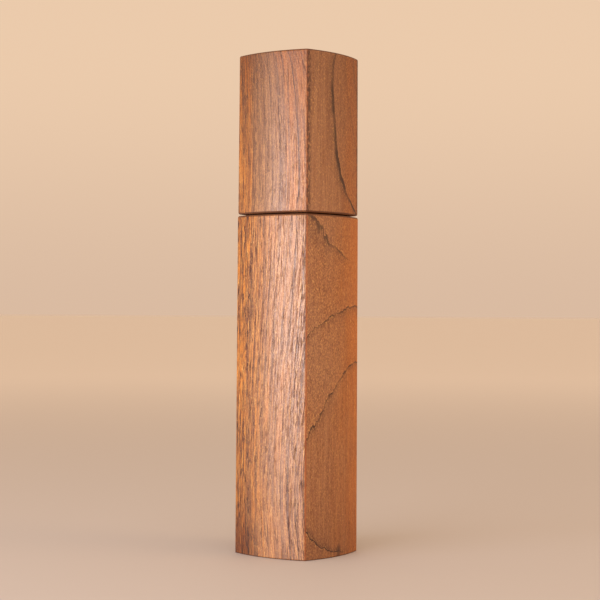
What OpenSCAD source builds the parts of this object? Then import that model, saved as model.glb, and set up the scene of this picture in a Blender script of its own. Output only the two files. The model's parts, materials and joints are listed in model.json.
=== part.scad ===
// Pepper mill: a square walnut column with bowed sides, a head that turns and pulls off, and a
// ceramic grinding mechanism that a wheel in the foot sets from fine to coarse.
// Frame: millimetres, +Z up, origin at the centre of the foot, one bowed side facing -Y.

/* [Wood] */
// Width of one side at the foot, from corner to corner
side_w = 50; // [49:0.5:56]
// How far the middle of a side bows out past its corners
side_bow = 4.4; // [3.8:0.1:6]
// Height of the body
body_h = 193; // [150:1:250]
// Height of the head, without its tenon
head_h = 91; // [60:1:120]
// Gap between the body and the head
joint_gap = 0.8; // [0.5:0.1:1.5]
// Softening of the long corners, measured along the diagonal
corner_cut = 0.3; // [0.1:0.05:0.8]
// Bore for peppercorns, across
chamber_d = 32; // [30:1:34]

/* [Head] */
// Length of the head's tenon inside the body
tenon_h = 12; // [8:1:16]
// Clearance between tenon and bore, on the radius
tenon_clear = 0.3; // [0.2:0.05:0.5]

/* [Mechanism] */
// Drive bar, across its flats
bar_af = 7; // [6.5:0.1:8]
// Number of finger scallops round the setting wheel
scallops = 14; // [8:1:18]
// Number of milling flutes on the ceramic cone
flutes = 8; // [6:1:10]
// Width of the grinding gap on the radius, at rest
grind_gap = 0.5; // [0.45:0.01:0.6]

/* [Hidden] */
$fn = 96;
eps = 0.01;

// Colours
walnut = "#8c5a35";
black_plastic = "#26262a";
grey_plastic = "#4a4b50";
ceramic = "#efece4";
steel = "#b9bcc0";
bronze = "#a8793f";
aluminium = "#c9cbce";

// Bowed sides: each is an arc of this radius, struck from a centre behind the opposite side.
// Towards the top the radius shrinks a little, which draws all four sides in.
side_half = side_w / 2 + side_bow;
side_r = (side_w * side_w / 4 + side_bow * side_bow) / (2 * side_bow);
side_centre = side_r - side_half;
body_top_draw = 0.3;
head_foot_draw = 0.52;
head_top_draw = 0.8;
foot_edge = 0.6;
joint_edge = 1.2;
crown_edge = 0.9;

// Bores of the body, from the foot up
recess_r = 24.5;
recess_h = 12;
mech_r = 19;
mech_top = 41;
chamber_r = chamber_d / 2;

// Grinder housing: flange in the recess, barrel in the mechanism bore, bridge across its top
flange_z = 8;
flange_r = 24.2;
barrel_r = 18.8;
barrel_bore_r = 16.6;
barrel_top = 40.5;
mouth_r = 18.2;
groove_r = 19.2;
groove_z = 9.2;
groove_top = 11;
hub_r = 7;
hub_z = 34.9;
hub_top = 40;
spoke_w = 3.4;
screw_circle_r = 21.4;
screw_shank_r = 1.25;
screw_cone_h = 1;
screw_end = 20;
key_w = 4;
key_slot_top = 24;
key_clear = 0.2;

// Setting wheel, with snap fingers that hook into the housing's groove
wheel_z = 1.2;
wheel_r = 22;
wheel_top = 7.7;
wheel_edge = 1.2;
scallop_r = 3.5;
scallop_depth = 1.1;
thread_r = 15.7;
neck_r = 18;
lip_r = 18.9;
lip_z = 9.4;
lip_top = 10.8;
finger_slot_w = 1.6;
dimple_circle_r = 18.3;

// Carrier of the outer burr
carrier_z = 3.5;
carrier_r = 15.6;
carrier_top = 20;
carrier_edge = 0.5;
seat_r = 13.9;
seat_z = 5.5;
carrier_lip_r = 12.6;
key_r = 17.4;
key_z = 14;
key_top = 19;

// Burrs: a cone that widens downwards inside a ring with a narrow land at its foot
cone_z = 5.4;
cone_top = 19.4;
cone_r = 11;
cone_top_r = 5.8;
cone_slope = (cone_r - cone_top_r) / (cone_top - cone_z);
ring_top = 18.5;
ring_r = 13.85;
ring_edge = 0.4;
ring_mouth_r = 12.6;
land_top = 8.5;
land_grooves = 30;
ring_flutes = 12;
cone_grooves = 24;

// Turning parts
drive_af = 5;
drive_clear = 0.1;
journal_r = 3;
journal_z = 33;
journal_clear = 0.05;
bar_z = 43;
bar_top = body_h + 23;
bar_corner_r = bar_af / 2 + 0.9;
tapped_r = 1.5;
tapped_top = 14;
washer_z = 4.7;
washer_r = 4.6;
screw_r = 2.8;
screw_head_z = 2.6;
screw_round = 1;
feed_top = 27.4;
feed_r = 9.6;
feed_hub_r = 4.4;
vane_t = 1.8;
vane_tilt = 42;
washer_t = 0.6;
bush_r = 4.6;
bush_flange_r = 6.4;
bush_flange_t = 0.8;
clip_z = hub_top + washer_t + 0.05;
clip_t = 0.7;
clip_r = 5.2;
clip_groove_r = 2.4;
spring_wire_r = 0.4;
spring_r = 5;
spring_turns = 5;

// Head and its insert
head_z = body_h + joint_gap;
tenon_z = head_z - tenon_h;
tenon_r = chamber_r - tenon_clear;
insert_r = 12;
insert_top = head_z + 28.2;
insert_core_r = 11.2;
insert_rib_w = 1.4;
insert_flange_t = 1.2;
insert_flange_z = tenon_z - insert_flange_t;
insert_flange_r = tenon_r - 0.7;
insert_screw_r = 13.4;
insert_shank_r = 0.85;
pan_r = 1.5;
pan_h = 1.3;
socket_clear = 0.05;
wire_z = tenon_z + 4.2;
wire_r = 0.6;
wire_start = -8;
wire_bend = 6;

function arc_points(centre, r, from, to, steps) = [
  for (i = [0 : steps])
    let (angle = from + (to - from) * i / steps)
    centre + r * [cos(angle), sin(angle)]
];

// Distance from the axis to the corner of a column whose sides have radius r
function corner_distance(r) = sqrt(2) * (sqrt(2 * r * r - side_centre * side_centre) - side_centre) / 2;

// Radius of the ceramic cone at height z
function cone_radius(z) = cone_r - cone_slope * (z - cone_z);

module disc(z0, z1, r) {
  translate([0, 0, z0]) cylinder(h = z1 - z0, r = r);
}

module cone(z0, z1, r0, r1) {
  translate([0, 0, z0]) cylinder(h = z1 - z0, r1 = r0, r2 = r1);
}

module tube(z0, z1, inner, outer) {
  difference() {
    disc(z0, z1, outer);
    disc(z0 - 1, z1 + 1, inner);
  }
}

module hex_bar(z0, z1, af) {
  translate([0, 0, z0]) cylinder(h = z1 - z0, r = af / 2 / cos(30), $fn = 6);
}

module around(count, start = 0) {
  for (i = [0 : count - 1]) rotate([0, 0, start + 360 * i / count]) children();
}

// One bowed side as a great disc whose rim is the side's surface, with rounded rims
module side_disc(h, r0, r1, edge0, edge1) {
  rim = concat(
    [[0, 0]],
    arc_points([r0 - edge0, edge0], edge0, -90, 0, 3),
    arc_points([r1 - edge1, h - edge1], edge1, 0, 90, 3),
    [[0, h]]
  );
  translate([-side_centre, 0, 0]) rotate_extrude() polygon(rim);
}

// A column between four bowed sides, with its long corners softened
module bowed_column(z0, z1, draw0, draw1, edge0, edge1) {
  h = z1 - z0;
  r0 = side_r - draw0;
  r1 = side_r - draw1;
  translate([0, 0, z0]) intersection() {
    intersection_for(a = [0 : 90 : 270]) rotate([0, 0, a]) side_disc(h, r0, r1, edge0, edge1);
    cone(0, h, corner_distance(r0) - corner_cut, corner_distance(r1) - corner_cut);
  }
}

module body_column() {
  color(walnut) difference() {
    bowed_column(0, body_h, 0, body_top_draw, foot_edge, joint_edge);
    disc(-1, recess_h, recess_r);
    disc(recess_h - 1, mech_top, mech_r);
    disc(mech_top - 1, body_h + 1, chamber_r);
    cone(body_h - 1, body_h + eps, chamber_r, chamber_r + 1);
    around(3) translate([screw_circle_r, 0, 0])
      disc(recess_h - 1, screw_end + 1, screw_shank_r + 0.05);
  }
}

module grinder_housing() {
  color(black_plastic) difference() {
    union() {
      disc(flange_z, recess_h, flange_r);
      tube(recess_h - 1, barrel_top, barrel_bore_r, barrel_r);
      disc(hub_z, hub_top, hub_r);
      around(3, 30) translate([0, -spoke_w / 2, hub_z]) cube([barrel_r - 1, spoke_w, hub_top - hub_z]);
    }
    disc(flange_z - 1, groove_z + eps, mouth_r);
    disc(groove_z, groove_top, groove_r);
    disc(groove_top - eps, hub_z - 4, barrel_bore_r);
    disc(hub_z - 1, hub_top + 1, bush_r + 0.05);
    around(3) {
      translate([0, -key_w / 2 - key_clear, groove_z + 1])
        cube([key_r + 0.3, key_w + 2 * key_clear, key_slot_top - groove_z - 1]);
      translate([screw_circle_r, 0, 0]) {
        disc(flange_z - 1, recess_h + 1, screw_shank_r + 0.2);
        cone(flange_z - eps, flange_z + screw_cone_h + 0.1, 2.3, screw_shank_r);
      }
    }
  }
}

// Cross-shaped driver recess, cut up into a screw's head from its underside
module cross_recess(z0, z1, w, t) {
  for (a = [0, 90]) rotate([0, 0, a]) translate([-w / 2, -t / 2, z0]) cube([w, t, z1 - z0]);
}

// Countersunk wood screws through the flange
module housing_screws() {
  point_z = screw_end - 2;
  color(steel) around(3) translate([screw_circle_r, 0, 0]) difference() {
    union() {
      cone(flange_z + 0.1, flange_z + screw_cone_h, 2.1, screw_shank_r);
      disc(flange_z + screw_cone_h - 0.1, point_z, screw_shank_r);
      cone(point_z, screw_end, screw_shank_r, 0.3);
    }
    cross_recess(flange_z - 1, flange_z + 0.7, 2.2, 0.4);
  }
}

// Flanged bearing bush in the bridge's hub
module shaft_bush() {
  color(bronze) difference() {
    union() {
      disc(hub_z - bush_flange_t, hub_z, bush_flange_r);
      disc(hub_z - eps, hub_top, bush_r);
    }
    disc(hub_z - 2, hub_top + 1, journal_r + journal_clear);
  }
}

module thrust_washer() {
  color(steel) tube(hub_top, hub_top + washer_t, journal_r + 0.3, bush_flange_r);
}

module spring_washer() {
  spring_washer_top = hub_z - bush_flange_t - 0.05;
  color(steel)
    tube(spring_washer_top - washer_t, spring_washer_top, journal_r + 0.3, bush_flange_r - 0.2);
}

module adjuster_wheel() {
  color(grey_plastic) difference() {
    rotate_extrude() polygon([
      [thread_r, wheel_z + 0.6], [thread_r + 0.6, wheel_z], [wheel_r - wheel_edge, wheel_z],
      [wheel_r, wheel_z + wheel_edge],
      [wheel_r, wheel_top], [neck_r, wheel_top], [neck_r, lip_z], [lip_r, lip_z], [neck_r + 0.2, lip_top],
      [thread_r, lip_top]
    ]);
    around(scallops) translate([wheel_r + scallop_r - scallop_depth, 0, 0])
      disc(wheel_z - 1, wheel_top + 1, scallop_r);
    around(6, 15) translate([thread_r - 1, -finger_slot_w / 2, wheel_top]) cube([5, finger_slot_w, 5]);
    // A row of dimples that grow from fine to coarse
    for (i = [0 : 6]) rotate([0, 0, -135 + 15 * i]) translate([dimple_circle_r, 0, 0])
      disc(wheel_z - 1, wheel_z + 0.5, 0.35 + 0.1 * i);
  }
}

module burr_carrier() {
  color(black_plastic) union() {
    rotate_extrude() polygon([
      [carrier_lip_r, carrier_z], [carrier_r - carrier_edge, carrier_z],
      [carrier_r, carrier_z + carrier_edge],
      [carrier_r, carrier_top], [seat_r, carrier_top], [seat_r, seat_z], [carrier_lip_r, seat_z]
    ]);
    around(3) translate([seat_r + 0.8, -key_w / 2, key_z])
      cube([key_r - seat_r - 0.8, key_w, key_top - key_z]);
  }
}

// A round cutter that lies along a slope, turned to a helix angle
module slanted_cutter(at_r, at_z, slope, helix, r, length) {
  translate([at_r, 0, at_z]) rotate([0, slope, 0]) rotate([helix, 0, 0])
    cylinder(h = length, r = r, center = true);
}

module outer_burr() {
  waist_r = cone_radius(land_top) + grind_gap;
  flare = (ring_mouth_r - waist_r) / (ring_top - land_top);
  flute_z = 14.5;
  flute_at = waist_r + flare * (flute_z - land_top) - 0.55;
  groove_z = 7;
  color(ceramic) difference() {
    rotate_extrude() polygon([
      [cone_radius(seat_z) + grind_gap, seat_z], [ring_r - ring_edge, seat_z],
      [ring_r, seat_z + ring_edge],
      [ring_r, ring_top], [ring_mouth_r, ring_top], [waist_r, land_top]
    ]);
    around(ring_flutes) slanted_cutter(flute_at, flute_z, atan(flare), -24, 1, 12);
    around(land_grooves)
      slanted_cutter(cone_radius(groove_z) + grind_gap, groove_z, -atan(cone_slope), -18, 0.42, 6);
  }
}

module inner_burr() {
  flute_z = 16;
  groove_z = 6.6;
  color(ceramic) difference() {
    cone(cone_z, cone_top, cone_r, cone_top_r);
    hex_bar(cone_z - 1, cone_top + 1, drive_af + drive_clear);
    around(flutes) slanted_cutter(cone_radius(flute_z) + 0.5, flute_z, -atan(cone_slope), 28, 1.7, 16);
    around(cone_grooves) slanted_cutter(cone_radius(groove_z), groove_z, -atan(cone_slope), 18, 0.5, 5);
  }
}

// Hub with slanted vanes that push peppercorns down into the burrs
module feed_screw() {
  h = feed_top - cone_top;
  color(grey_plastic) difference() {
    union() {
      disc(cone_top, feed_top, feed_hub_r);
      intersection() {
        around(3) translate([feed_r / 2, 0, cone_top + h / 2]) rotate([vane_tilt, 0, 0])
          cube([feed_r + 1, vane_t, 2 * h], center = true);
        cone(cone_top, feed_top, feed_r - 1.6, feed_r);
        tube(cone_top - 1, feed_top + 1, feed_hub_r - 0.5, feed_r + 1);
      }
    }
    hex_bar(cone_top - 1, feed_top + 1, drive_af + drive_clear);
  }
}

module drive_shaft() {
  color(aluminium) difference() {
    union() {
      hex_bar(cone_z + 0.1, journal_z + 1, drive_af);
      disc(journal_z, bar_z + 1, journal_r);
      intersection() {
        hex_bar(bar_z, bar_top, bar_af);
        rotate_extrude() polygon([
          [0, bar_z], [bar_corner_r - 1.2, bar_z], [bar_corner_r, bar_z + 1.2],
          [bar_corner_r, bar_top - 1.4], [bar_corner_r - 1.4, bar_top], [0, bar_top]
        ]);
      }
    }
    tube(clip_z - 0.05, clip_z + clip_t + 0.05, clip_groove_r, journal_r + 1);
    disc(cone_z - 1, tapped_top, tapped_r);
  }
}

// Retaining clip with its open side and the two gaps that leave three gripping lobes
module retaining_clip() {
  color(steel) difference() {
    tube(clip_z, clip_z + clip_t, clip_groove_r + 0.05, clip_r);
    translate([0, -2, clip_z - 1]) cube([8, 4, 3]);
    for (a = [120, 240]) rotate([0, 0, a]) translate([2.6, 0, 0]) disc(clip_z - 1, clip_z + 2, 1);
  }
}

// Height of the spring's wire after a number of turns: one closed turn at each end, open between
function coil_z(turn, z0, z1, closed) =
  turn < 1 ? z0 + closed * turn
  : turn > spring_turns - 1 ? z1 - closed * (spring_turns - turn)
  : z0 + closed + (z1 - z0 - 2 * closed) * (turn - 1) / (spring_turns - 2);

// Compression spring, swept as rings of points along the coil
module burr_spring() {
  z0 = feed_top + 0.05 + spring_wire_r;
  z1 = hub_z - bush_flange_t - washer_t - 0.1 - spring_wire_r;
  closed = 2 * spring_wire_r + 0.05;
  steps = 22 * spring_turns;
  sides = 8;
  points = [
    for (i = [0 : steps]) for (j = [0 : sides - 1])
      let (
        turn = spring_turns * i / steps,
        r = spring_r + spring_wire_r * cos(360 * j / sides),
        rise = spring_wire_r * sin(360 * j / sides)
      )
      [r * cos(360 * turn), r * sin(360 * turn), coil_z(turn, z0, z1, closed) + rise]
  ];
  faces = concat(
    [[for (j = [0 : sides - 1]) j]],
    [for (i = [0 : steps - 1]) for (j = [0 : sides - 1])
      let (a = i * sides + j, b = i * sides + (j + 1) % sides) [a, a + sides, b + sides, b]],
    [[for (j = [sides - 1 : -1 : 0]) steps * sides + j]]
  );
  color(steel) polyhedron(points = points, faces = faces);
}

module burr_washer() {
  color(steel) tube(washer_z, cone_z, tapped_r + 0.1, washer_r);
}

// Pan-head screw up into the end of the shaft
module burr_screw() {
  color(steel) difference() {
    union() {
      rotate_extrude() polygon(concat(
        [[0, screw_head_z]],
        arc_points([screw_r - screw_round, screw_head_z + screw_round], screw_round, -90, 0, 4),
        [[screw_r, washer_z], [0, washer_z]]
      ));
      disc(washer_z - 0.5, tapped_top - 1, tapped_r - 0.05);
    }
    cross_recess(screw_head_z - 1, screw_head_z + 1, 3, 0.5);
  }
}

// Upper column with its turned tenon, bored for the insert
module head() {
  color(walnut) difference() {
    union() {
      bowed_column(head_z, head_z + head_h, head_foot_draw, head_top_draw, joint_edge, crown_edge);
      disc(tenon_z, head_z + 2, tenon_r);
    }
    disc(tenon_z - 1, insert_top + 0.2, insert_r);
    around(2) translate([insert_screw_r, 0, 0]) disc(tenon_z - 1, tenon_z + 9, insert_shank_r + 0.05);
  }
}

// Ribbed plug with a blind hexagon socket for the drive bar
module head_insert() {
  color(grey_plastic) difference() {
    union() {
      disc(insert_flange_z, tenon_z, insert_flange_r);
      disc(tenon_z - 0.5, insert_top, insert_core_r);
      around(8, 22.5) translate([0, -insert_rib_w / 2, tenon_z - 0.5])
        cube([insert_r - 0.15, insert_rib_w, insert_top - tenon_z]);
    }
    hex_bar(tenon_z - 3, bar_top + socket_clear, bar_af + 3 * socket_clear);
    cone(insert_flange_z - eps, tenon_z + 0.3, bar_corner_r + 0.8, bar_corner_r - 0.5);
    translate([wire_start - 1, -insert_rib_w - bar_af / 2, wire_z - wire_r - 0.1])
      cube([22, 2 * insert_rib_w + bar_af, 2 * wire_r + 0.2]);
    around(2) translate([insert_screw_r, 0, 0]) disc(tenon_z - 3, tenon_z + 1, insert_shank_r + 0.15);
  }
}

module insert_screws() {
  pan_z = insert_flange_z - pan_h;
  point_z = tenon_z + 7;
  color(steel) around(2) translate([insert_screw_r, 0, 0]) difference() {
    union() {
      cone(pan_z, pan_z + 0.4, pan_r - 0.4, pan_r);
      disc(pan_z + 0.4, insert_flange_z, pan_r);
      disc(insert_flange_z - 0.5, point_z, insert_shank_r);
      cone(point_z, point_z + 1.2, insert_shank_r, 0.2);
    }
    cross_recess(pan_z - 1, pan_z + 0.6, 1.8, 0.3);
  }
}

// U of spring wire whose legs grip two flats of the drive bar
module shaft_clip() {
  leg_y = bar_af / 2 + wire_r + 0.05;
  leg_h = wire_bend - wire_start;
  color(steel) translate([0, 0, wire_z]) union() {
    for (side = [-1, 1]) translate([wire_start, side * leg_y, 0]) rotate([0, 90, 0])
      cylinder(h = leg_h, r = wire_r);
    translate([wire_bend, 0, 0]) rotate([0, 0, -90])
      rotate_extrude(angle = 180) translate([leg_y, 0]) circle(r = wire_r);
  }
}

body_column();
grinder_housing();
housing_screws();
shaft_bush();
thrust_washer();
spring_washer();
adjuster_wheel();
burr_carrier();
outer_burr();
drive_shaft();
retaining_clip();
burr_spring();
feed_screw();
inner_burr();
burr_washer();
burr_screw();
head();
head_insert();
insert_screws();
shaft_clip();
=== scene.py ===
import json
import math

import bmesh
import bpy
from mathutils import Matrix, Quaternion, Vector


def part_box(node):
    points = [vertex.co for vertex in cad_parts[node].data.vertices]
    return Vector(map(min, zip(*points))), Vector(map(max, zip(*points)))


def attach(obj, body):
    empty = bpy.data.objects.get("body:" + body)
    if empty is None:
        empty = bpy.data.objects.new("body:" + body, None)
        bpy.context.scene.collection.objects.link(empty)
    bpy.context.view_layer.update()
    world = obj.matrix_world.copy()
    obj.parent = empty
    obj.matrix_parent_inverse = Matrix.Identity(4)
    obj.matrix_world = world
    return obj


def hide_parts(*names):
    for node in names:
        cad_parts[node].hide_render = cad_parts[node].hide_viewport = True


# Walnut pepper mill. The two walnut pieces are remeshed here with their own grain, and the mechanism
# keeps its CAD meshes and gets its finishes. Lengths are metres; the grain is laid out in millimetres.

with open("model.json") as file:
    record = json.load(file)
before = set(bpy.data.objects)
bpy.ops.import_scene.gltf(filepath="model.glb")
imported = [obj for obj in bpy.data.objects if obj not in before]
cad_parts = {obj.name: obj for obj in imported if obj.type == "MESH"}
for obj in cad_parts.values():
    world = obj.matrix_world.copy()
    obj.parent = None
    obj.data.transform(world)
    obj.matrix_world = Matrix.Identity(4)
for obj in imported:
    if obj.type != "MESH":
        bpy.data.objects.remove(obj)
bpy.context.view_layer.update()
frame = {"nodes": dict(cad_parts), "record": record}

MM = 0.001

# ---------------------------------------------------------------- shape of the walnut pieces

BODY_LOW, BODY_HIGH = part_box("body_column")
HEAD_LOW, HEAD_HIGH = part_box("head")

# Plan: four bowed sides of one radius. HALF_CHORD is half a side from corner to corner, HALF_WIDTH half
# the width across the bows, and the centre of each side's arc lies SIDE_BACK beyond the mill's axis.
HALF_CHORD = 25 * MM
HALF_WIDTH = BODY_HIGH.x
SIDE_BOW = HALF_WIDTH - HALF_CHORD
SIDE_RADIUS = (HALF_CHORD ** 2 + SIDE_BOW ** 2) / (2 * SIDE_BOW)
SIDE_BACK = SIDE_RADIUS - HALF_WIDTH
CORNER_ROUND = 1.5 * MM

# How far the sides draw in at each level, and how far each rim is rounded
BODY_TOP_DRAW = 0.3 * MM
HEAD_FOOT_DRAW = 0.52 * MM
HEAD_TOP_DRAW = 0.8 * MM
FOOT_EDGE = 0.6 * MM
JOINT_EDGE = 1.2 * MM
CROWN_EDGE = 0.9 * MM
JOINT_GAP = 0.8 * MM
HEAD_FOOT = BODY_HIGH.z + JOINT_GAP

# Bores of the body and the head
RECESS_R = 24.5 * MM
RECESS_TOP = 12 * MM
MECH_R = 19 * MM
MECH_TOP = 41 * MM
CHAMBER_R = 16 * MM
MOUTH_EDGE = 1 * MM
TENON_R = 15.7 * MM
TENON_EDGE = 0.4 * MM
INSERT_R = 12 * MM
INSERT_TOP = 222.2 * MM

# Mesh density
SUPPORT = 0.3 * MM
SIDE_STEPS = 22
CORNER_STEPS = 5
RIM_STEPS = 5
ROW_HEIGHT = 8 * MM
CROWN_SCALES = (0.97, 0.75, 0.5, 0.25)
SHARP_ANGLE = 35


def column_outline(radius, inset=0.0):
    """Plan of the column: four bowed sides of one radius with rounded corners, moved in by inset."""
    reach = radius - CORNER_ROUND
    corner = (math.sqrt(2 * reach ** 2 - SIDE_BACK ** 2) - SIDE_BACK) / 2
    turn = math.atan2(corner, corner + SIDE_BACK)
    inner = turn - SUPPORT / radius
    angles = [-turn] + [inner * (2 * i / SIDE_STEPS - 1) for i in range(SIDE_STEPS + 1)] + [turn]
    side_r = radius - inset
    points = [(-SIDE_BACK + side_r * math.cos(a), side_r * math.sin(a)) for a in angles]
    corner_r = CORNER_ROUND - inset
    sweep = math.pi / 2 - 2 * turn
    for i in range(1, CORNER_STEPS):
        a = turn + sweep * i / CORNER_STEPS
        points.append((corner + corner_r * math.cos(a), corner + corner_r * math.sin(a)))
    outline = list(points)
    for _ in range(3):
        points = [(-y, x) for x, y in points]
        outline += points
    return outline


PLAN = column_outline(SIDE_RADIUS)


def column_loop(z, draw, inset=0.0):
    return [Vector((x, y, z)) for x, y in column_outline(SIDE_RADIUS - draw, inset)]


def circle_loop(z, radius):
    """A circle with one point for each point of the column's plan, in the same direction."""
    return [Vector((x, y, 0)).normalized() * radius + Vector((0, 0, z)) for x, y in PLAN]


def rim_loops(z, draw, edge, up):
    """Loops round a rim: from the end face to the side when up is 1, the other way when it is -1."""
    loops = []
    for i in range(RIM_STEPS + 1):
        a = math.pi / 2 * i / RIM_STEPS
        inset = edge * (1 - math.sin(a))
        rise = edge * (1 - math.cos(a))
        loops.append(column_loop(z + up * rise, draw, inset))
    return loops[::up]


def wall_loops(z0, z1, draw0, draw1):
    """The side walls between two rims, with a supporting loop close to each."""
    steps = max(1, round((z1 - z0) / ROW_HEIGHT))
    heights = [z0 + SUPPORT + (z1 - z0 - 2 * SUPPORT) * i / steps for i in range(steps + 1)]
    return [column_loop(z, draw0 + (draw1 - draw0) * (z - z0) / (z1 - z0)) for z in heights]


def shrunk(loop, scale):
    return [Vector((p.x * scale, p.y * scale, p.z)) for p in loop]


def bore_loops(z0, z1, radius):
    steps = max(1, round(abs(z1 - z0) / (2 * ROW_HEIGHT)))
    return [circle_loop(z0 + (z1 - z0) * i / steps, radius) for i in range(steps + 1)]


def skin(name, loops, ring):
    """A mesh piece through loops with the same number of points: a closed ring of loops, or capped."""
    bm = bmesh.new()
    rows = [[bm.verts.new(p) for p in loop] for loop in loops]
    count = len(rows[0])
    pairs = list(zip(rows, rows[1:]))
    if ring:
        pairs.append((rows[-1], rows[0]))
    for low, high in pairs:
        for i in range(count):
            j = (i + 1) % count
            bm.faces.new((low[i], low[j], high[j], high[i]))
    if not ring:
        for row in (rows[0], rows[-1]):
            middle = bm.verts.new((0, 0, row[0].co.z))
            for i in range(count):
                bm.faces.new((row[i], row[(i + 1) % count], middle))
    bmesh.ops.recalc_face_normals(bm, faces=bm.faces)
    mesh = bpy.data.meshes.new(name)
    bm.to_mesh(mesh)
    bm.free()
    mesh.shade_smooth()
    mesh.set_sharp_from_angle(angle=math.radians(SHARP_ANGLE))
    piece = bpy.data.objects.new(name, mesh)
    bpy.context.scene.collection.objects.link(piece)
    return piece


def walnut_body():
    """Body: foot, sides, top rim, peppercorn chamber, mechanism bore and foot recess in one skin."""
    foot, top = BODY_LOW.z, BODY_HIGH.z
    loops = rim_loops(foot, 0, FOOT_EDGE, 1)
    loops += wall_loops(foot + FOOT_EDGE, top - JOINT_EDGE, 0, BODY_TOP_DRAW)
    loops += rim_loops(top, BODY_TOP_DRAW, JOINT_EDGE, -1)
    loops.append(column_loop(top, BODY_TOP_DRAW, JOINT_EDGE + SUPPORT))
    mouth_r = CHAMBER_R + MOUTH_EDGE
    loops += [circle_loop(top, mouth_r + SUPPORT), circle_loop(top, mouth_r)]
    loops += bore_loops(top - MOUTH_EDGE, MECH_TOP, CHAMBER_R)
    loops += bore_loops(MECH_TOP, RECESS_TOP, MECH_R)
    loops += bore_loops(RECESS_TOP, foot, RECESS_R)
    return skin("walnut_body", loops, ring=True)


def walnut_head():
    """Head: blind bore for the insert, tenon, shoulder, sides and crown in one skin."""
    foot, top, tenon = HEAD_FOOT, HEAD_HIGH.z, HEAD_LOW.z
    loops = bore_loops(INSERT_TOP, tenon, INSERT_R)
    loops += [circle_loop(tenon, TENON_R - TENON_EDGE), circle_loop(tenon + TENON_EDGE, TENON_R)]
    loops += [circle_loop(foot, TENON_R), circle_loop(foot, TENON_R + SUPPORT)]
    loops.append(column_loop(foot, HEAD_FOOT_DRAW, JOINT_EDGE + SUPPORT))
    loops += rim_loops(foot, HEAD_FOOT_DRAW, JOINT_EDGE, 1)
    loops += wall_loops(foot + JOINT_EDGE, top - CROWN_EDGE, HEAD_FOOT_DRAW, HEAD_TOP_DRAW)
    loops += rim_loops(top, HEAD_TOP_DRAW, CROWN_EDGE, -1)
    rim = column_loop(top, HEAD_TOP_DRAW, CROWN_EDGE)
    loops += [shrunk(rim, scale) for scale in CROWN_SCALES]
    return skin("walnut_head", loops, ring=False)


# ---------------------------------------------------------------- node trees written as arithmetic

SHIFT_STEP = (7.3, 5.1, 3.7)


def colour(red, green, blue):
    """A colour given as the 0 to 255 numbers a paint chart gives, as a linear colour."""
    return tuple((c / 255) ** 2.2 for c in (red, green, blue)) + (1.0,)


def plug(tree, socket, value):
    if isinstance(value, Value):
        tree.links.new(value.socket, socket)
    else:
        socket.default_value = value


def mixed(tree, share, first, second, blend="MIX"):
    """One colour over another: share is how much of the second shows."""
    node = tree.nodes.new("ShaderNodeMix")
    node.data_type = "RGBA"
    node.blend_type = blend
    plug(tree, node.inputs[0], share)
    plug(tree, node.inputs[6], first)
    plug(tree, node.inputs[7], second)
    return Value(tree, node.outputs[2])


class Value:
    """An output socket. Arithmetic on it adds Math nodes to its tree."""

    def __init__(self, tree, socket):
        self.tree = tree
        self.socket = socket

    def math(self, operation, *values):
        node = self.tree.nodes.new("ShaderNodeMath")
        node.operation = operation
        for socket, value in zip(node.inputs, values):
            plug(self.tree, socket, value)
        return Value(self.tree, node.outputs[0])

    def __add__(self, other):
        return self.math("ADD", self, other)

    def __radd__(self, other):
        return self.math("ADD", other, self)

    def __sub__(self, other):
        return self.math("SUBTRACT", self, other)

    def __rsub__(self, other):
        return self.math("SUBTRACT", other, self)

    def __mul__(self, other):
        return self.math("MULTIPLY", self, other)

    def __rmul__(self, other):
        return self.math("MULTIPLY", other, self)

    def __truediv__(self, other):
        return self.math("DIVIDE", self, other)

    def __abs__(self):
        return self.math("ABSOLUTE", self)

    def root(self):
        return self.math("SQRT", self)

    def fraction(self):
        return self.math("FRACT", self)

    def whole(self):
        return self.math("FLOOR", self)

    def most(self, other):
        return self.math("MAXIMUM", self, other)

    def ramp(self, low, high, start=0.0, end=1.0):
        """Goes smoothly from start to end as this value goes from low to high."""
        node = self.tree.nodes.new("ShaderNodeMapRange")
        node.interpolation_type = "SMOOTHSTEP"
        for name, value in zip(("Value", "From Min", "From Max"), (self, low, high)):
            plug(self.tree, node.inputs[name], value)
        plug(self.tree, node.inputs["To Min"], start)
        plug(self.tree, node.inputs["To Max"], end)
        return Value(self.tree, node.outputs[0])

    def curve(self, *points):
        """A smooth curve through (input, output) points, level beyond its ends."""
        in0, in1 = points[0][0], points[-1][0]
        out0 = min(y for _, y in points)
        out1 = max(y for _, y in points)
        node = self.tree.nodes.new("ShaderNodeFloatCurve")
        scaled = [((x - in0) / (in1 - in0), (y - out0) / (out1 - out0)) for x, y in points]
        node.mapping.extend = "HORIZONTAL"
        line = node.mapping.curves[0]
        line.points[0].location = scaled[0]
        line.points[1].location = scaled[-1]
        for place in scaled[1:-1]:
            line.points.new(*place)
        node.mapping.update()
        plug(self.tree, node.inputs["Value"], (self - in0) / (in1 - in0))
        return Value(self.tree, node.outputs[0]) * (out1 - out0) + out0


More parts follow.
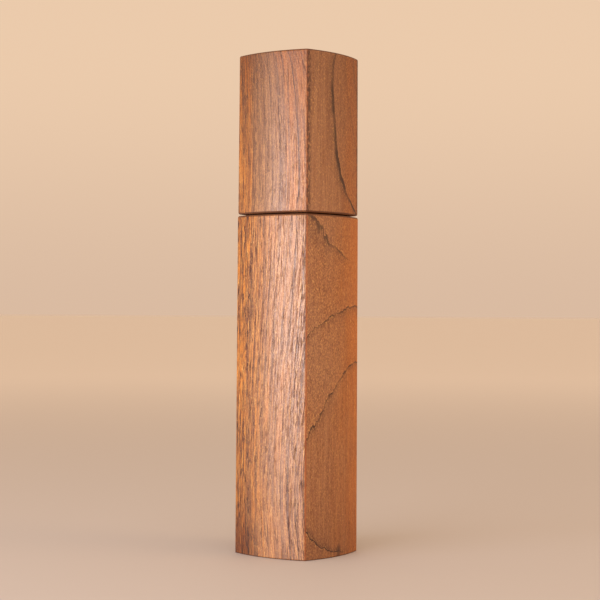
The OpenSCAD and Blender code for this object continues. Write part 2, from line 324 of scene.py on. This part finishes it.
class Finish:
    """A material under construction, with its place on the object in millimetres."""

    def __init__(self, name):
        self.material = bpy.data.materials.new(name)
        self.material.use_nodes = True
        self.tree = self.material.node_tree
        self.tree.nodes.clear()
        coordinates = self.make("ShaderNodeTexCoord").outputs
        self.place = self.scaled(Value(self.tree, coordinates["Object"]), 1 / MM, 1 / MM, 1 / MM)
        split = self.make("ShaderNodeSeparateXYZ", Vector=self.place)
        self.x, self.y, self.z = [Value(self.tree, out) for out in split.outputs]
        facing = self.make("ShaderNodeSeparateXYZ", Vector=Value(self.tree, coordinates["Normal"]))
        self.normal_z = Value(self.tree, facing.outputs["Z"])

    def off_axis_squared(self):
        """The square of the distance from the mill's axis."""
        return self.x * self.x + self.y * self.y

    def make(self, kind, **inputs):
        node = self.tree.nodes.new(kind)
        for name, value in inputs.items():
            plug(self.tree, node.inputs[name.replace("_", " ")], value)
        return node

    def scaled(self, vector, x, y, z, shift=0.0):
        """A vector stretched along each axis, and moved so that each shift gives another noise."""
        node = self.tree.nodes.new("ShaderNodeVectorMath")
        node.operation = "MULTIPLY_ADD"
        plug(self.tree, node.inputs[0], vector)
        plug(self.tree, node.inputs[1], (x, y, z))
        plug(self.tree, node.inputs[2], [shift * step for step in SHIFT_STEP])
        return Value(self.tree, node.outputs[0])

    def vector(self, x, y, z):
        return Value(self.tree, self.make("ShaderNodeCombineXYZ", X=x, Y=y, Z=z).outputs[0])

    def noise(self, across, along=None, detail=2.0, shift=0.0, place=None):
        """Noise from 0 to 1 whose features are about this many mm across, and along the Z axis."""
        along = along or across
        vector = self.scaled(place or self.place, 1 / across, 1 / across, 1 / along, shift)
        node = self.tree.nodes.new("ShaderNodeTexNoise")
        node.noise_dimensions = "3D"
        plug(self.tree, node.inputs["Vector"], vector)
        plug(self.tree, node.inputs["Scale"], 1.0)
        plug(self.tree, node.inputs["Detail"], detail)
        return Value(self.tree, node.outputs[0])

    def line_noise(self, value, size, detail=2.0):
        """Noise along one value, with features about size long."""
        node = self.tree.nodes.new("ShaderNodeTexNoise")
        node.noise_dimensions = "1D"
        plug(self.tree, node.inputs["W"], value / size)
        plug(self.tree, node.inputs["Scale"], 1.0)
        plug(self.tree, node.inputs["Detail"], detail)
        return Value(self.tree, node.outputs[0])

    def mix(self, share, first, second, blend="MIX"):
        return mixed(self.tree, share, first, second, blend)

    def bump(self, height, depth):
        """A normal from a height field from 0 to 1 that is depth mm deep."""
        node = self.make("ShaderNodeBump", Height=height)
        plug(self.tree, node.inputs["Distance"], depth * MM)
        return Value(self.tree, node.outputs[0])

    def surface(self, **inputs):
        """Ends the material with a Principled shader, and returns the material."""
        shader = self.make("ShaderNodeBsdfPrincipled", **inputs)
        output = self.make("ShaderNodeOutputMaterial")
        self.tree.links.new(shader.outputs[0], output.inputs["Surface"])
        return self.material


# ---------------------------------------------------------------- walnut

WOOD_GREY = colour(156, 112, 84)
WOOD_ORANGE = colour(188, 109, 36)
WOOD_LIGHT = colour(232, 178, 104)
WOOD_DEEP = colour(126, 74, 44)
WOOD_STREAK = colour(84, 40, 36)
WOOD_SHADE = colour(80, 46, 36)
WOOD_PORE = colour(60, 32, 30)
WOOD_LINE = colour(58, 30, 22)
# The next colour is painted shade, multiplied in at the top and the foot.
WOOD_END_SHADE = colour(172, 148, 132)
WOOD_END = colour(136, 86, 52)
# The next colour darkens the rims, partly as painted shade, and the rays of the cut ends.
WOOD_RIM = colour(70, 38, 26)
WOOD_RUBBED = colour(160, 74, 34)

RING_SPACING = 5
BUMP_DEPTH = 0.05

# Worn places lie further than this from the axis, outside the tenon and all bores
OUTSIDE_FROM = 24.5
OUTSIDE_FULL = 26.5

# Over z: how far the rings' middle drifts along X, and how far the rings swing across a flat-sawn side.
# RING_BOW bends each ring line, and where the swing is past GENTLE_SPREAD the lines are broader.
RING_DRIFT = (
    (0, -8.3), (16, -10), (34, -11.3), (45, -11.3), (64, -10.3), (122, -5.4), (175, -1), (192, -0.6),
    (215, 0.5), (245, -0.7), (285, -6.5),
)
RING_SPREAD = (
    (0, 3.6), (40, 2.7), (77, 3), (93, 2.3), (110, 2.1), (129, 3.3), (143, 3.1), (156, 3.9), (165, 4.7),
    (171, 5.15), (184, 5.75), (200, 7), (223, 8.2), (245, 10.2), (285, 16.2),
)
RING_BOW = 4
GENTLE_SPREAD = 4


def ring_field(wood):
    """Growth rings as a number that rises by one from each ring to the next, about 5 mm apart.

    The rings stand nearly square to the -Y side and lie nearly flat in the +X side, so the first
    shows straight lines and the second long curved ones. Also gives the place across the straight
    lines, and how steeply the number rises along the flat-sawn sides."""
    across = wood.y / (HALF_CHORD / MM)
    share = 0.65 + 0.014 * wood.x
    lean = wood.x - share * wood.z.curve(*RING_DRIFT)
    spread = wood.z.curve(*RING_SPREAD)
    swing = (1 + across) * (spread - RING_BOW * across)
    wander = (wood.noise(9, 24, detail=2) - 0.5) * 0.35
    jag = (wood.noise(3, 6, detail=2) - 0.5) * (0.45 - 0.2 * across)
    steepness = 0.018 + (spread - GENTLE_SPREAD).most(0) / 125
    return (lean - swing + wander + jag) / RING_SPACING, lean, steepness


class Walnut(Finish):
    """Oiled walnut. Masks from 0 to 1 say where its rings, pores and worn places are, and its
    colour, roughness and bump are built on them. flat marks the flat-sawn +X and -X sides, and
    upright the other two."""

    def __init__(self, name, grain, seed):
        super().__init__(name)
        self.grain = grain
        self.seed = seed
        self.rings, self.lean, self.steepness = ring_field(self)
        self.fraction = self.rings.fraction()
        self.from_edge = abs(self.x) - abs(self.y)
        self.flat = self.from_edge.ramp(-1.2, 1.2)
        self.upright = 1 - self.flat
        self.outside = self.off_axis_squared().ramp(OUTSIDE_FROM ** 2, OUTSIDE_FULL ** 2)
        self.mottle = self.noise(15, 45, detail=3, shift=seed + 9)
        sway = (self.noise(11, 48, detail=1, shift=seed) - 0.5) * 1.6
        self.fibre = self.vector(self.lean + sway, self.y + sway * 0.4, self.z)
        self.streaks = self.fibres(1.5, 40, 3, 0)
        self.speckle = self.fibres(0.55, 1.1, 2, 8)
        self.mark_ring_lines()
        self.mark_pores()

    def fibres(self, across, along, detail, shift):
        """Noise drawn out along the swaying fibres."""
        return self.noise(across, along, detail, self.seed + shift, self.fibre)

    def mark_ring_lines(self):
        """Ring lines: sharp on the side of the last ring, with a shade that fades away from it."""
        line_width = 0.1 * self.upright + self.grain["line_width"] * self.steepness * self.flat
        shade_width = 0.5 * self.upright + 7 * self.steepness * self.flat
        patchy = self.noise(7, 22, detail=2, shift=self.seed + 2).ramp(0.35, 0.55, 0.5, 1)
        reach = self.z.curve(*self.grain["line_reach"]) - self.y
        each_ring = self.rings.whole().curve(*self.grain["lines"])
        self.strength = patchy * each_ring * reach.ramp(-6, 3, 0.15, 1)
        self.line = self.fraction.ramp(line_width * 0.4, line_width, 1, 0) * self.strength
        self.shade = self.fraction.ramp(0.0, shade_width, 1, 0) * self.strength

    def mark_pores(self):
        """Pores are short dark dashes along the fibres, crowded in some bands."""
        crowds = self.fibres(2.6, 14, 2, 10)
        self.crowd = crowds.ramp(0.35, 0.6, 0.45, 1) * self.rings.curve(*self.grain["pores"])
        dashes = self.fibres(0.6, 5, 0, 5).ramp(0.55, 0.63)
        strands = self.fibres(0.52, 20, 0, 3).ramp(0.55, 0.64)
        fine = self.fibres(0.4, 2.6, 1, 7).ramp(0.54, 0.64)
        self.pores = dashes * self.crowd * (0.25 + 0.75 * self.upright)
        self.strands = strands * (0.15 + 0.85 * self.upright) * (0.15 + 0.85 * self.crowd)
        self.fine_pores = fine * (0.4 + 0.6 * self.crowd)

    def plain_wood(self):
        """The warmth of the wood, with its golden and dark streaks. On the body the greyer tone
        toward +X on the -Y side is partly painted sheen.
        """
        straight = self.rings.curve(*self.grain["warmth"]) * self.upright
        warm = straight + self.y.curve(*self.grain["flat_warmth"]) * self.flat
        warm = warm + (self.mottle - 0.5) * 0.6 + (self.streaks - 0.5) * (0.3 + 0.9 * self.upright)
        gold = self.fibres(0.55, 8, 0, 14).ramp(0.55, 0.66) * self.crowd
        dark = self.streaks.ramp(0.52, 0.4) * (0.15 + 0.65 * self.upright * self.crowd)
        base = self.mix(warm.ramp(0, 1), WOOD_GREY, WOOD_ORANGE)
        base = self.mix((0.1 + 0.5 * gold) * self.upright, base, WOOD_LIGHT)
        return self.mix(dark, base, WOOD_STREAK)

    def figured(self, base):
        """The deeper tone, the ribbons and the open speckle of the flat-sawn sides. On the body the
        deeper tone toward -Y is painted shade.
        """
        deep = (self.y.curve(*self.grain["depth"]) + (self.mottle - 0.5) * 0.5) * self.flat
        ribbon = self.rings.curve(*self.grain["ribbon"]) * self.flat
        ribbons = self.noise(1, 36, detail=2, shift=self.seed + 12)
        open_grain = (0.35 + 0.65 * deep + 0.15 * self.upright) * (1 - 0.55 * ribbon)
        base = self.mix(deep * 0.6, base, WOOD_DEEP)
        base = self.mix(ribbons.ramp(0.47, 0.62) * ribbon * 0.45, base, WOOD_DEEP)
        base = self.mix(ribbons.ramp(0.48, 0.34) * ribbon * 0.09, base, WOOD_LIGHT)
        base = self.mix(self.speckle.ramp(0.5, 0.64) * 0.5 * open_grain, base, WOOD_STREAK)
        return self.mix(self.speckle.ramp(0.46, 0.32) * 0.35 * open_grain, base, WOOD_LIGHT)

    def lined(self, base):
        """Pores and ring lines, with pale flecks, which gather beside the lines. The flecks are partly
        the wood's own and partly painted glints.
        """
        beside = self.fraction.ramp(4 * self.steepness, 0) + self.fraction.ramp(1 - 2.5 * self.steepness, 1)
        # Pale flecks: partly the wood's own, partly painted glints.
        fleck = self.fibres(0.5, 1.1, 1, 11).ramp(0.58, 0.66)
        base = self.mix(self.strands * 0.8, base, WOOD_STREAK)
        base = self.mix(self.shade * 0.55, base, WOOD_SHADE)
        base = self.mix(self.pores * 0.9, base, WOOD_PORE)
        base = self.mix(self.fine_pores * 0.35, base, WOOD_PORE)
        base = self.mix(fleck * (0.25 + 0.35 * beside * self.strength * self.flat), base, WOOD_LIGHT)
        return self.mix(self.line * 0.95, base, WOOD_LINE)

    def worn_and_shaded(self, base):
        """Rubbed redder long edges, a dark band beside them, painted shade at the ends, darker rims."""
        rubbed = self.from_edge.ramp(-0.2, 0.2) * self.from_edge.ramp(0.5, 1.3, 1, 0) * self.outside
        band = self.from_edge.ramp(-0.6, 0.4) * self.from_edge.ramp(1.8, 4.5, 1, 0) * self.outside
        knots = self.noise(1.1, 2.4, detail=2, shift=self.seed + 13).ramp(0.38, 0.56, 0.15, 1)
        # Painted shade at the top and the foot: full on the -X part of the -Y and +Y sides, less toward +X
        # and on the flat-sawn sides.
        across = self.upright * self.x.ramp(-14, 0, 1.05, self.grain["near_ends"])
        painted_end_shade = self.z.curve(*self.grain["ends"]) * (0.45 * self.flat + across)
        # Darker rims: the end grain's own tone, and painted shade in the joint between head and body and
        # along the foot.
        end_grain_and_rim_shade = abs(self.normal_z).ramp(0.08, 0.45)
        base = self.mix(rubbed * 0.55, base, WOOD_RUBBED)
        base = self.mix(band * self.grain["edge_band"] * knots, base, WOOD_SHADE)
        base = self.mix(painted_end_shade, base, WOOD_END_SHADE, "MULTIPLY")
        return self.mix(end_grain_and_rim_shade * 0.8, base, WOOD_RIM)

    def stained(self, base):
        """A dark spot at the foot of the +X side."""
        across = (self.y - 1) / 2.5
        up = (self.z - 3) / 5
        spot = (across * across + up * up + self.speckle).ramp(0.4, 1.6, 1, 0)
        return self.mix(spot * self.x.ramp(0, 5) * 0.7, base, WOOD_LINE)

    def sawn_across(self):
        """The cut ends: rings as arcs, each darkening toward its line, with open pores as dots."""
        band = self.fraction.ramp(0.25, 0) + self.fraction.ramp(0.5, 1) * 0.35
        dots = self.noise(0.7, 6, detail=1, shift=31).ramp(0.56, 0.64)
        rays = self.noise(9, detail=3, shift=33).ramp(0.35, 0.65)
        base = self.mix(band, WOOD_END, WOOD_DEEP)
        base = self.mix(rays * 0.3, base, WOOD_RIM)
        return self.mix(dots * (0.35 + 0.4 * band), base, WOOD_PORE)

    def finished(self):
        """The material: its flat-sawn sides and cut ends are duller, and its pores are open."""
        cut_end = abs(self.normal_z).ramp(0.6, 0.9)
        base = self.stained(self.worn_and_shaded(self.lined(self.figured(self.plain_wood()))))
        base = self.mix(cut_end, base, self.sawn_across())
        matt = self.flat + cut_end * (0.6 - self.flat)
        open_pores = self.pores * 0.4 + self.strands * 0.3 + self.fine_pores * 0.15
        rough = 0.36 + matt * 0.24 + open_pores + (self.mottle - 0.5) * 0.1
        hollows = self.pores * 0.6 + self.fine_pores * 0.4 + self.strands * 0.2 + self.line * 0.3
        normal = self.bump(1 - hollows + self.speckle * 0.2, BUMP_DEPTH)
        return self.surface(Base_Color=base, Roughness=rough, Normal=normal)


# ---------------------------------------------------------------- finishes of the mechanism


def moulded_plastic(name, tint, least_rough):
    """Moulded plastic with a fine eroded texture and a few rubbed patches."""
    plastic = Finish(name)
    grain = plastic.noise(0.22, detail=3)
    rubs = plastic.noise(6, detail=3, shift=4)
    base = plastic.mix(rubs.ramp(0.35, 0.7), colour(*tint), colour(*[c * 1.08 + 2 for c in tint]))
    rough = least_rough + grain * 0.12 + rubs * 0.08
    return plastic.surface(Base_Color=base, Roughness=rough, Normal=plastic.bump(grain, 0.02))


def fired_ceramic(name):
    """Unglazed fired ceramic with a faint speckle."""
    clay = Finish(name)
    grain = clay.noise(0.16, detail=3)
    cloud = clay.noise(4, detail=2, shift=2)
    speck = clay.noise(0.35, detail=0, shift=6).ramp(0.7, 0.78)
    base = clay.mix(cloud.ramp(0.3, 0.7), colour(236, 232, 222), colour(224, 216, 200))
    base = clay.mix(speck * 0.5, base, colour(150, 128, 100))
    return clay.surface(Base_Color=base, Roughness=0.5 + grain * 0.2, Normal=clay.bump(grain, 0.02))


def turned_metal(name, tint, least_rough):
    """Metal with fine concentric turning marks round the mill's axis."""
    metal = Finish(name)
    marks = metal.line_noise(metal.off_axis_squared().root() + metal.z * 0.5, 0.07)
    cloud = metal.noise(3, detail=3)
    base = metal.mix(cloud.ramp(0.3, 0.7), colour(*tint), colour(*[c * 0.88 for c in tint]))
    rough = least_rough + marks * 0.14 + cloud * 0.1
    return metal.surface(Base_Color=base, Roughness=rough, Metallic=1.0, Normal=metal.bump(marks, 0.004))


def drawn_metal(name, tint, least_rough):
    """Metal with fine lines along the Z axis, as a drawn bar has."""
    metal = Finish(name)
    lines = metal.noise(0.12, 18, detail=3)
    cloud = metal.noise(5, 20, detail=3, shift=3)
    base = metal.mix(cloud.ramp(0.3, 0.7), colour(*tint), colour(*[c * 0.9 for c in tint]))
    rough = least_rough + lines * 0.16 + cloud * 0.08
    return metal.surface(Base_Color=base, Roughness=rough, Metallic=1.0, Normal=metal.bump(lines, 0.006))


def sintered_bronze(name):
    """Porous bronze, darkened by its oil."""
    metal = Finish(name)
    grain = metal.noise(0.2, detail=2)
    holes = metal.noise(0.25, detail=1, shift=5).ramp(0.62, 0.72)
    base = metal.mix(grain.ramp(0.3, 0.7), colour(176, 132, 76), colour(140, 100, 58))
    base = metal.mix(holes * 0.8, base, colour(60, 44, 30))
    normal = metal.bump(grain - holes, 0.015)
    return metal.surface(Base_Color=base, Roughness=0.36 + holes * 0.3, Metallic=1.0, Normal=normal)


# ---------------------------------------------------------------- stage, lights and camera

# The eye is level with the middle of the mill, and aims a hair to the right of its axis
EYE_AZIMUTH = 37.37
EYE_DISTANCE = 0.915
EYE_HEIGHT = 0.1396
EYE_LENS = 95.17
EYE_ROLL = 0.348
SENSOR_WIDTH = 36
AIM_HEIGHT = 0.14502
AIM_RIGHT = 0.00134

FLOOR_RADIUS = 30.0
FLOOR_SEGMENTS = 96
# Painted shade near the mill and painted light far off, so the floor fades into the horizon.
FLOOR_NEAR = colour(196, 190, 188)
FLOOR_FAR = colour(238, 232, 228)
WORLD_HORIZON = colour(222, 190, 164)
WORLD_ABOVE = colour(240, 206, 174)
WORLD_STRENGTH = 0.95
LIGHT_AIM = Vector((0, 0, 0.13))


def compass(azimuth, distance, z):
    """A place seen from the mill: azimuth 0 is toward -Y and 90 toward +X."""
    a = math.radians(azimuth)
    return Vector((math.sin(a) * distance, -math.cos(a) * distance, z))


def floor_material():
    """Smooth pale paper with painted shade round the mill, growing paler toward the horizon."""
    paper = Finish("pale_floor")
    grain = paper.noise(60, detail=2)
    away = paper.off_axis_squared().root().ramp(200, 2500)
    base = paper.mix(away, FLOOR_NEAR, FLOOR_FAR)
    return paper.surface(Base_Color=base, Roughness=0.7, Normal=paper.bump(grain, 0.1))


def add_floor():
    """A round pale floor, large enough to end at the horizon."""
    bm = bmesh.new()
    bmesh.ops.create_circle(bm, cap_ends=True, segments=FLOOR_SEGMENTS, radius=FLOOR_RADIUS)
    mesh = bpy.data.meshes.new("floor")
    bm.to_mesh(mesh)
    bm.free()
    floor = bpy.data.objects.new("floor", mesh)
    floor.data.materials.append(floor_material())
    bpy.context.scene.collection.objects.link(floor)


def add_light(name, place, width, height, power, tint):
    """A soft rectangular light that faces the mill."""
    data = bpy.data.lights.new(name, "AREA")
    data.shape = "RECTANGLE"
    data.size = width
    data.size_y = height
    data.energy = power
    data.color = colour(*tint)[:3]
    light = bpy.data.objects.new(name, data)
    light.location = place
    light.rotation_euler = (LIGHT_AIM - place).to_track_quat("-Z", "Y").to_euler()
    light.visible_camera = False
    bpy.context.scene.collection.objects.link(light)


def add_lights():
    """A wide low window on the left, a warm fill on the right and a faint light from above."""
    window = compass(-9, 1.15, 0.16)
    right = compass(108, 1.3, 0.2)
    above = compass(30, 0.5, 1.5)
    add_light("window", window, width=1.05, height=0.32, power=15, tint=(246, 247, 255))
    add_light("right_fill", right, width=0.6, height=0.6, power=8, tint=(255, 214, 160))
    add_light("top", above, width=0.9, height=0.9, power=3, tint=(250, 246, 250))


def add_world():
    """Pale warm surroundings, a little darker at the horizon, where they meet the floor."""
    world = bpy.data.worlds.new("studio")
    world.use_nodes = True
    tree = world.node_tree
    split = tree.nodes.new("ShaderNodeSeparateXYZ")
    direction = tree.nodes.new("ShaderNodeTexCoord").outputs["Generated"]
    tree.links.new(direction, split.inputs[0])
    above = Value(tree, split.outputs["Z"]).ramp(-0.01, 0.16)
    background = tree.nodes["Background"]
    plug(tree, background.inputs["Color"], mixed(tree, above, WORLD_HORIZON, WORLD_ABOVE))
    plug(tree, background.inputs["Strength"], WORLD_STRENGTH)
    bpy.context.scene.world = world


def add_camera():
    """A long lens without shift, rolled by a third of a degree."""
    data = bpy.data.cameras.new("camera")
    data.lens = EYE_LENS
    data.sensor_width = SENSOR_WIDTH
    camera = bpy.data.objects.new("camera", data)
    place = compass(EYE_AZIMUTH, EYE_DISTANCE, EYE_HEIGHT)
    aim = compass(EYE_AZIMUTH + 90, AIM_RIGHT, AIM_HEIGHT)
    level = (aim - place).to_track_quat("-Z", "Y")
    roll = Quaternion(level @ Vector((0, 0, 1)), math.radians(EYE_ROLL))
    camera.location = place
    camera.rotation_mode = "QUATERNION"
    camera.rotation_quaternion = roll @ level
    bpy.context.scene.collection.objects.link(camera)
    bpy.context.scene.camera = camera


# ---------------------------------------------------------------- the mill put together

# How the grain runs in each walnut piece.
# Curves over the ring number: warmth (0 greyish, 1 orange) on the -Y and +Y sides, lines (how strong each
# ring's line is), pores (how crowded they are) and ribbon (how much ribbon figure the flat-sawn sides have).
# Curves over y, for the flat-sawn sides: flat_warmth, and depth (how dark they are).
# Curves over z: line_reach (the y past which ring lines fade) and ends (how much painted shade darkens the
# ends).
# Single values: near_ends (what is left of that painted shade toward +X), line_width and edge_band.
BODY_GRAIN = {
    # On the -Y side the greyer tone from ring -1.4 toward +X is partly painted sheen.
    "warmth": (
        (-6, 0.95), (-3, 0.85), (-1.4, 0.5), (2, 0.4), (5, 0.35), (6.9, 0.45), (7.2, 0.8), (9, 0.8),
    ),
    "lines": ((-6, 0.5), (-1, 0.4), (3, 0.5), (5, 0.75), (6, 0.8), (7, 1.0), (8, 0.4)),
    "pores": ((-6, 1.0), (-2.5, 1.0), (-1, 0.75), (2, 0.5), (4, 0.4), (5, 0.6), (9, 0.7)),
    "ribbon": ((6.9, 0), (7.15, 1)),
    "flat_warmth": ((-25, 0.2), (0, 0.4), (14, 0.75), (25, 1)),
    # The darker tone toward -Y is painted shade.
    "depth": ((-25, 0.75), (-6, 0.7), (8, 0.6), (25, 0.25)),
    "line_reach": ((0, 2), (30, 6), (90, 18), (140, 30), (165, 8), (193, 2)),
    "ends": ((0, 1), (9, 0.95), (22, 0.6), (50, 0.2), (150, 0.0), (193, 0.3)),
    "near_ends": 0.2,
    "line_width": 1.4,
    "edge_band": 0.0,
}
HEAD_GRAIN = {
    "warmth": (
        (-6, 0.75), (-2.6, 0.65), (-1.8, 0.25), (0.5, 0.05), (2.5, 0.35), (3.8, 0.7), (9, 0.6),
    ),
    "lines": ((-6, 0.4), (0, 0.5), (2, 0.3), (3, 0.15), (4, 1.0), (5, 0.1), (6, 0.1)),
    "pores": ((-6, 0.8), (-3, 0.6), (0, 0.4), (4, 0.35), (9, 0.7)),
    "ribbon": ((3.9, 0.35), (4.1, 1)),
    "flat_warmth": ((-25, 0.3), (-18, 0.0), (2, 0.1), (10, 0.6), (25, 0.75)),
    "depth": ((-25, 0.6), (-14, 0.45), (2, 0.7), (8, 0.95), (25, 1)),
    "line_reach": ((190, 22), (285, 26)),
    "ends": ((193, 0.25), (215, 0.3), (250, 0.55), (285, 0.95)),
    "near_ends": 0.8,
    "line_width": 2.3,
    "edge_band": 0.95,
}
BODY_SEED = 1
HEAD_SEED = 20


def wood_piece(piece, body, node, material):
    """Gives a walnut piece its material and lets it stand in for its CAD node."""
    piece.data.materials.append(material)
    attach(piece, body)
    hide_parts(node)


def finish_node(node, material):
    """Puts a finish on every material slot of a CAD node."""
    for slot in frame["nodes"][node].material_slots:
        slot.link = "OBJECT"
        slot.material = material


def finish_mechanism():
    """Finishes each CAD node that stays, by the material slot in its record."""
    finishes = {
        "black_plastic": moulded_plastic("black_plastic", (40, 40, 42), 0.42),
        "grey_plastic": moulded_plastic("grey_plastic", (84, 85, 90), 0.4),
        "ceramic": fired_ceramic("ceramic"),
        "steel": turned_metal("steel", (200, 201, 203), 0.22),
        "spring_steel": drawn_metal("spring_steel", (180, 181, 184), 0.2),
        "bronze": sintered_bronze("bronze"),
        "aluminium": drawn_metal("aluminium", (214, 215, 217), 0.26),
    }
    for part in frame["record"]["subparts"]:
        if part["material_slot"] in finishes:
            finish_node(part["node"], finishes[part["material_slot"]])


bpy.context.scene.view_settings.view_transform = "Standard"
body_walnut = Walnut("walnut_body", BODY_GRAIN, BODY_SEED).finished()
head_walnut = Walnut("walnut_head", HEAD_GRAIN, HEAD_SEED).finished()
wood_piece(walnut_body(), "body", "body_column", body_walnut)
wood_piece(walnut_head(), "head", "head", head_walnut)
finish_mechanism()
add_floor()
add_lights()
add_world()
add_camera()
